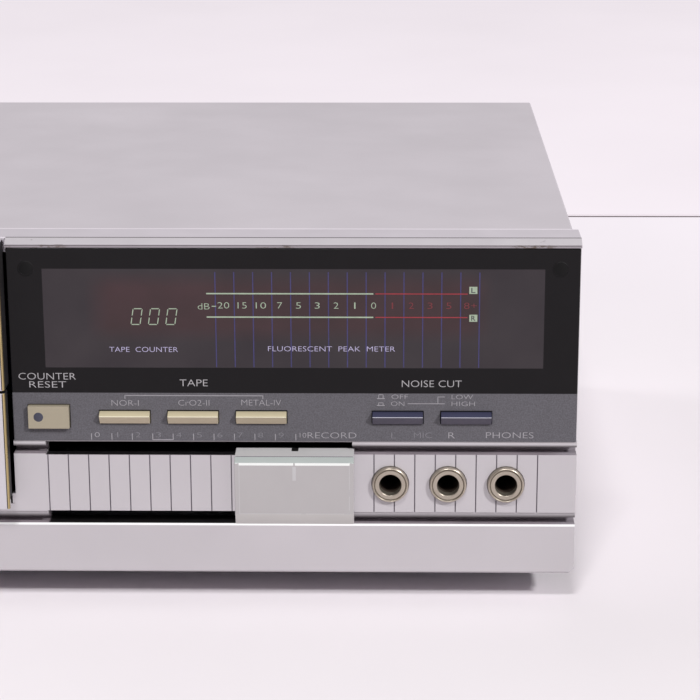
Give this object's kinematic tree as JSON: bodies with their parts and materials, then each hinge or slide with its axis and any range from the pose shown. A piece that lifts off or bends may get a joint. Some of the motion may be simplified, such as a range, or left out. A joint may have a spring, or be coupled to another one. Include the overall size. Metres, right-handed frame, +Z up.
{
  "type": "cassette deck",
  "caption": "Low, wide hi-fi cassette deck with a bottom-hinged cassette door, a level meter window, a slider, push buttons and front jacks.",
  "frame": {"origin": "centre of the bounding box at the level of the feet's soles", "axes": "+X to the right seen from the front, +Y from the front to the back, +Z up"},
  "size_m": [0.4316, 0.238, 0.1119],
  "materials": {
    "silver_panel": "satin silver",
    "silver_frame": "satin silver",
    "cover_paint": "satin silver",
    "black_acrylic": "polished",
    "black_plastic": "matte",
    "rear_paint": "matte black",
    "smoke_acrylic": "polished",
    "meter_glass": "polished",
    "grey_band": "satin",
    "key_silver": "satin silver",
    "beige_plastic": "satin",
    "slate_plastic": "satin",
    "clear_acrylic": "polished",
    "nickel": "polished",
    "bright_steel": "polished",
    "zinc_steel": "zinc plated",
    "core_steel": "varnished laminations",
    "circuit_board": "solder mask",
    "rubber": "matte"
  },
  "bodies": {
    "deck": {"fascia": "silver_panel", "transport_panel": "silver_panel", "front_frame": "silver_frame", "top_cover": "cover_paint", "display_plate": "black_acrylic", "control_insert": "black_acrylic", "line_sockets": "black_plastic", "power_inlet": "black_plastic", "switch_bank": "black_plastic", "mic_jack_left": "black_plastic", "mic_jack_right": "black_plastic", "phones_jack": "black_plastic", "rear_panel": "rear_paint", "meter_tube": "meter_glass", "key_surround": "grey_band", "mic_jack_nut_left": "nickel", "mic_jack_nut_right": "nickel", "phones_jack_nut": "nickel", "hinge_pin_left": "bright_steel", "hinge_pin_right": "bright_steel", "chassis_pan": "zinc_steel", "mech_plate": "zinc_steel", "drive_motor": "zinc_steel", "record_pot": "zinc_steel", "power_transformer": "core_steel", "front_board": "circuit_board", "main_board": "circuit_board", "foot_front_left": "rubber", "foot_front_right": "rubber", "foot_rear_left": "rubber", "foot_rear_right": "rubber", "drive_belt": "rubber"},
    "door": {"door_frame": "silver_panel", "door_lower_plate": "silver_panel", "door_window": "smoke_acrylic", "cassette_holder": "black_plastic"},
    "record_slider": {"record_knob": "clear_acrylic"},
    "tape_select_1": {"tape_button_1": "beige_plastic"},
    "tape_select_2": {"tape_button_2": "beige_plastic"},
    "tape_select_3": {"tape_button_3": "beige_plastic"},
    "noise_switch_1": {"nr_button_1": "slate_plastic"},
    "noise_switch_2": {"nr_button_2": "slate_plastic"},
    "counter_reset": {"counter_button": "beige_plastic"},
    "record_key": {"key_record": "key_silver"},
    "pause_key": {"key_pause": "key_silver"},
    "stop_key": {"key_stop": "key_silver"},
    "rewind_key": {"key_rewind": "key_silver"},
    "play_key": {"key_play": "key_silver"},
    "forward_key": {"key_forward": "key_silver"},
    "eject_key": {"key_eject": "key_silver"},
    "power_switch": {"power_button": "key_silver"},
    "timer_switch": {"timer_knob": "beige_plastic"},
    "supply_reel": {"supply_spindle": "black_plastic"},
    "takeup_reel": {"takeup_spindle": "black_plastic"},
    "capstan": {"capstan_flywheel": "zinc_steel"},
    "pulley": {"motor_pulley": "bright_steel"},
    "head_slide": {"head_bridge": "zinc_steel", "play_head": "bright_steel"},
    "pinch": {"pinch_arm": "zinc_steel"},
    "roller": {"pinch_roller": "rubber"}
  },
  "joints": [
    {"name": "door_hinge", "type": "hinge", "parent": "deck", "child": "door", "pos_m": [-0.0162, -0.104, 0.0345], "axis": [1, 0, 0], "range_deg": [0, 26]},
    {"name": "record_slide", "type": "slide", "parent": "deck", "child": "record_slider", "axis": [1, 0, 0], "range_m": [-0.06, 0]},
    {"name": "tape_push_1", "type": "slide", "parent": "deck", "child": "tape_select_1", "axis": [0, 1, 0], "range_m": [0, 0.002], "stiffness_N_per_m": 400},
    {"name": "tape_push_2", "type": "slide", "parent": "deck", "child": "tape_select_2", "axis": [0, 1, 0], "range_m": [0, 0.002], "stiffness_N_per_m": 400},
    {"name": "tape_push_3", "type": "slide", "parent": "deck", "child": "tape_select_3", "axis": [0, 1, 0], "range_m": [0, 0.002], "stiffness_N_per_m": 400},
    {"name": "noise_push_1", "type": "slide", "parent": "deck", "child": "noise_switch_1", "axis": [0, 1, 0], "range_m": [0, 0.002], "stiffness_N_per_m": 400},
    {"name": "noise_push_2", "type": "slide", "parent": "deck", "child": "noise_switch_2", "axis": [0, 1, 0], "range_m": [0, 0.002], "stiffness_N_per_m": 400},
    {"name": "counter_push", "type": "slide", "parent": "deck", "child": "counter_reset", "axis": [0, 1, 0], "range_m": [0, 0.0012], "stiffness_N_per_m": 400},
    {"name": "record_push", "type": "slide", "parent": "deck", "child": "record_key", "axis": [0, 1, 0], "range_m": [0, 0.0012], "stiffness_N_per_m": 800},
    {"name": "pause_push", "type": "slide", "parent": "deck", "child": "pause_key", "axis": [0, 1, 0], "range_m": [0, 0.0012], "stiffness_N_per_m": 800},
    {"name": "stop_push", "type": "slide", "parent": "deck", "child": "stop_key", "axis": [0, 1, 0], "range_m": [0, 0.0012], "stiffness_N_per_m": 800},
    {"name": "rewind_push", "type": "slide", "parent": "deck", "child": "rewind_key", "axis": [0, 1, 0], "range_m": [0, 0.0012], "stiffness_N_per_m": 800},
    {"name": "play_push", "type": "slide", "parent": "deck", "child": "play_key", "axis": [0, 1, 0], "range_m": [0, 0.0012], "stiffness_N_per_m": 800},
    {"name": "forward_push", "type": "slide", "parent": "deck", "child": "forward_key", "axis": [0, 1, 0], "range_m": [0, 0.0012], "stiffness_N_per_m": 800},
    {"name": "eject_push", "type": "slide", "parent": "deck", "child": "eject_key", "axis": [0, 1, 0], "range_m": [0, 0.0012], "stiffness_N_per_m": 800},
    {"name": "power_push", "type": "slide", "parent": "deck", "child": "power_switch", "axis": [0, 1, 0], "range_m": [0, 0.003], "stiffness_N_per_m": 500},
    {"name": "timer_slide", "type": "slide", "parent": "deck", "child": "timer_switch", "axis": [1, 0, 0], "range_m": [-0.0065, 0.0065]},
    {"name": "supply_spin", "type": "hinge", "parent": "deck", "child": "supply_reel", "pos_m": [-0.03745, -0.096, 0.0765], "axis": [0, 1, 0], "continuous": true},
    {"name": "takeup_spin", "type": "hinge", "parent": "deck", "child": "takeup_reel", "pos_m": [0.00505, -0.096, 0.0765], "axis": [0, 1, 0], "continuous": true},
    {"name": "capstan_spin", "type": "hinge", "parent": "deck", "child": "capstan", "pos_m": [0.0078, -0.092, 0.048], "axis": [0, 1, 0], "continuous": true},
    {"name": "pulley_spin", "type": "hinge", "parent": "deck", "child": "pulley", "pos_m": [-0.0582, -0.082, 0.076], "axis": [0, 1, 0], "continuous": true},
    {"name": "bridge_lift", "type": "slide", "parent": "deck", "child": "head_slide", "axis": [0, 0, 1], "range_m": [0, 0.005], "stiffness_N_per_m": 200},
    {"name": "pinch_swing", "type": "hinge", "parent": "deck", "child": "pinch", "pos_m": [0.0228, -0.098, 0.0382], "axis": [0, 1, 0], "range_deg": [0, 12.5]},
    {"name": "roller_spin", "type": "hinge", "parent": "pinch", "child": "roller", "pos_m": [0.0078, -0.104, 0.0372], "axis": [0, 1, 0], "continuous": true}
  ],
  "couplings": [
    {"joint": "pulley_spin", "follows": "capstan_spin", "ratio": 5.4},
    {"joint": "pinch_swing", "follows": "bridge_lift", "rad_per_m": 43}
  ]
}
